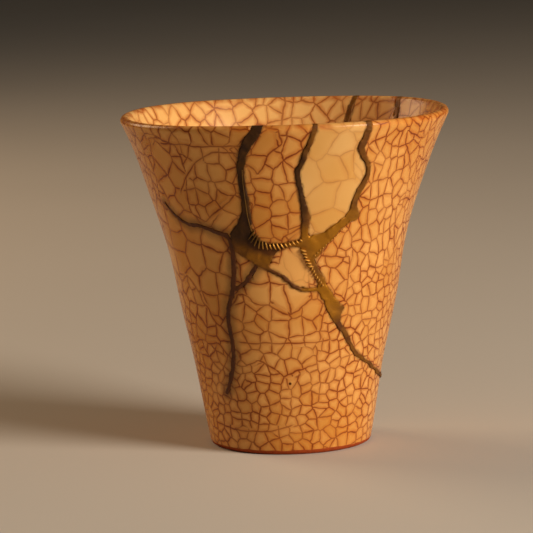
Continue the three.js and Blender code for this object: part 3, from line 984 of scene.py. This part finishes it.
# name: path as angle and height, then pitch, length, width, height, end size, slant, jitter
wrinkle_rows = {
    "comb_ridges": (
        [(-15.2, 56.8), (-13.6, 55.3), (-11, 54.2), (-7.4, 53.8)]
        + [(-2.9, 53.8), (0.7, 54.2), (4.3, 54.7), (6.5, 55.2)],
        (0.95, 2.9, 0.46, 0.95, 0.4, 0.45, 0.3),
    ),
    "knot_ridges": (
        [(7.5, 52.6), (8.9, 50.5), (10.9, 48.5)],
        (0.85, 2.2, 0.5, 1.0, 0.7, -0.8, 0.4),
    ),
    "edge_beads": (
        [(10.9, 48.5), (13.5, 46.1), (17.2, 43.5)],
        (0.85, 1.2, 0.62, 0.9, 0.6, 0.6, 0.3),
    ),
    "arm_dots": (
        [(13.0, 51.2), (17.7, 53.6), (21.3, 55.2), (25.3, 57.3), (28.4, 59.2)],
        (0.85, 0.4, 0.4, 0.4, 0.6, 0.0, 0.25),
    ),
    "seam_thread": (
        [(-15.9, 73.0), (-16.3, 69.2), (-16.2, 65.4), (-16.1, 61.6), (-15.4, 58.4), (-14.2, 56.2)],
        (0.3, 0.22, 0.5, 0.3, 1.6, 0.0, 0.3),
    ),
}


def wrinkle_tree():
    """Sets ridges square across a path on the wall, tapering along it."""
    sizes = ["Pitch", "Length", "Width", "Height", "End Size", "Slant", "Jitter", "Wall Lean"]
    sockets = {size: "Float" for size in sizes} | {"Seed": "Int", "Finish": "Material"}
    tree, given = new_tree("gathered_lacquer", sockets)
    node = partial(add, tree)
    path = node(
        "GeometryNodeResampleCurve", {"mode": "LENGTH"}, Curve=given["Geometry"], Length=given["Pitch"]
    )

    # each ridge stands out from the wall, and lies across the path
    level_place = node("VectorMath", "MULTIPLY", node("GeometryNodeInputPosition"), (1.0, 1.0, 0.0))
    steepness = node("Math", "TANGENT", given["Wall Lean"])
    droop = node("CombineXYZ", None, 0.0, 0.0, node("Math", "MULTIPLY", steepness, -1.0))
    out = node("VectorMath", "ADD", node("VectorMath", "NORMALIZE", level_place), droop)
    out = node("VectorMath", "NORMALIZE", out)
    run = node("GeometryNodeInputTangent")
    slanted = node("VectorMath", "SCALE", run, given["Slant"])
    lengthwise = node("VectorMath", "ADD", node("VectorMath", "CROSS_PRODUCT", run, out), slanted)
    turn = node("FunctionNodeAxesToRotation", {"primary_axis": "Z", "secondary_axis": "X"}, out, lengthwise)

    share = node("GeometryNodeSplineParameter").outputs["Factor"]
    taper = node("MapRange", None, share, 0.0, 1.0, 1.0, given["End Size"])
    least, most = [node("Math", way, 1.0, given["Jitter"]) for way in ("SUBTRACT", "ADD")]
    luck = node("FunctionNodeRandomValue", {"data_type": "FLOAT"}, least, most, Seed=given["Seed"])
    length = node("Math", "MULTIPLY", node("Math", "MULTIPLY", given["Length"], taper), luck)
    size = node("CombineXYZ", None, length, given["Width"], given["Height"])
    bead = node("GeometryNodeMeshUVSphere", None, 10, 7, 0.5)
    laid = node("GeometryNodeInstanceOnPoints", None, Points=path, Instance=bead, Rotation=turn, Scale=size)
    real = node("GeometryNodeRealizeInstances", None, laid)
    smooth = node("GeometryNodeSetShadeSmooth", None, real)
    finished = node("GeometryNodeSetMaterial", None, Geometry=smooth, Material=given["Finish"])
    node("NodeGroupOutput", None, finished)
    return tree


wrinkles = wrinkle_tree()
burnished_gold = gilded_lacquer(
    "burnished_gold_ridges", thin_leaf, burnished_leaf, [(0, 52, 40, 0.5)], metal=0.85
)
for number, (row, (path, sizes)) in enumerate(wrinkle_rows.items()):
    pitch, length, width, height, end_size, slant, jitter = sizes
    row_curve = poly_curve(row + "_path", [on_wall(angle, z, proud=wrinkle_proud) for angle, z in path])
    values = {
        "Pitch": pitch * mm,
        "Length": length * mm,
        "Width": width * mm,
        "Height": height * mm,
        "End Size": end_size,
        "Slant": slant,
        "Jitter": jitter,
        "Wall Lean": wrinkle_wall_lean,
        "Seed": number,
        "Finish": burnished_gold,
    }
    ridges = run_tree(wrinkles, row_curve, "gold_" + row, values)
    bpy.data.objects.remove(row_curve)
    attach(ridges, "root")


# The brown lacquer: the left crack and the crack under the wedge, closed with raw lacquer that was
# never gilded. It is nearly black, satin, and lies almost flush with the glaze.
lacquer_laying = {"spread": 0.16, "voxel": 0.14, "rounds": 3, "least_height": 0.1, "raggedness": 0.25}
lacquer_shades = ("#3f1e0b", "#74401a")
raw_lacquer_specular = 0.3
skin_size = 1.6


def raw_lacquer():
    """Cured raw lacquer: dark red-brown, satin, with a soft skin texture."""
    material, tree, shader = new_finish("raw_brown_lacquer")
    place = add(tree, "TexCoord").outputs["Object"]
    skin = add(tree, "TexNoise", None, Vector=place, Scale=1 / (skin_size * mm), Detail=3.0)
    tint = add(tree, "Mix", mix_colours, skin, *map(linear, lacquer_shades))
    wire(tree, tint, shader.inputs["Base Color"])
    shader.inputs["Specular IOR Level"].default_value = raw_lacquer_specular
    wire(tree, add(tree, "MapRange", None, skin, 0.3, 0.7, 0.5, 0.7), shader.inputs["Roughness"])
    bump = add(tree, "Bump", None, Strength=0.4, Distance=0.04 * mm, Height=skin)
    wire(tree, bump, shader.inputs["Normal"])
    return material


lacquer = laid_lacquer("lacquer_seam", "laid_lacquer_seam", raw_lacquer(), **lacquer_laying)
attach(lacquer, "root")
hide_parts("lacquer_seam")

for helper in (whole_cup, broken_cup, gold_cutter, lacquer_cutter):
    bpy.data.objects.remove(helper)
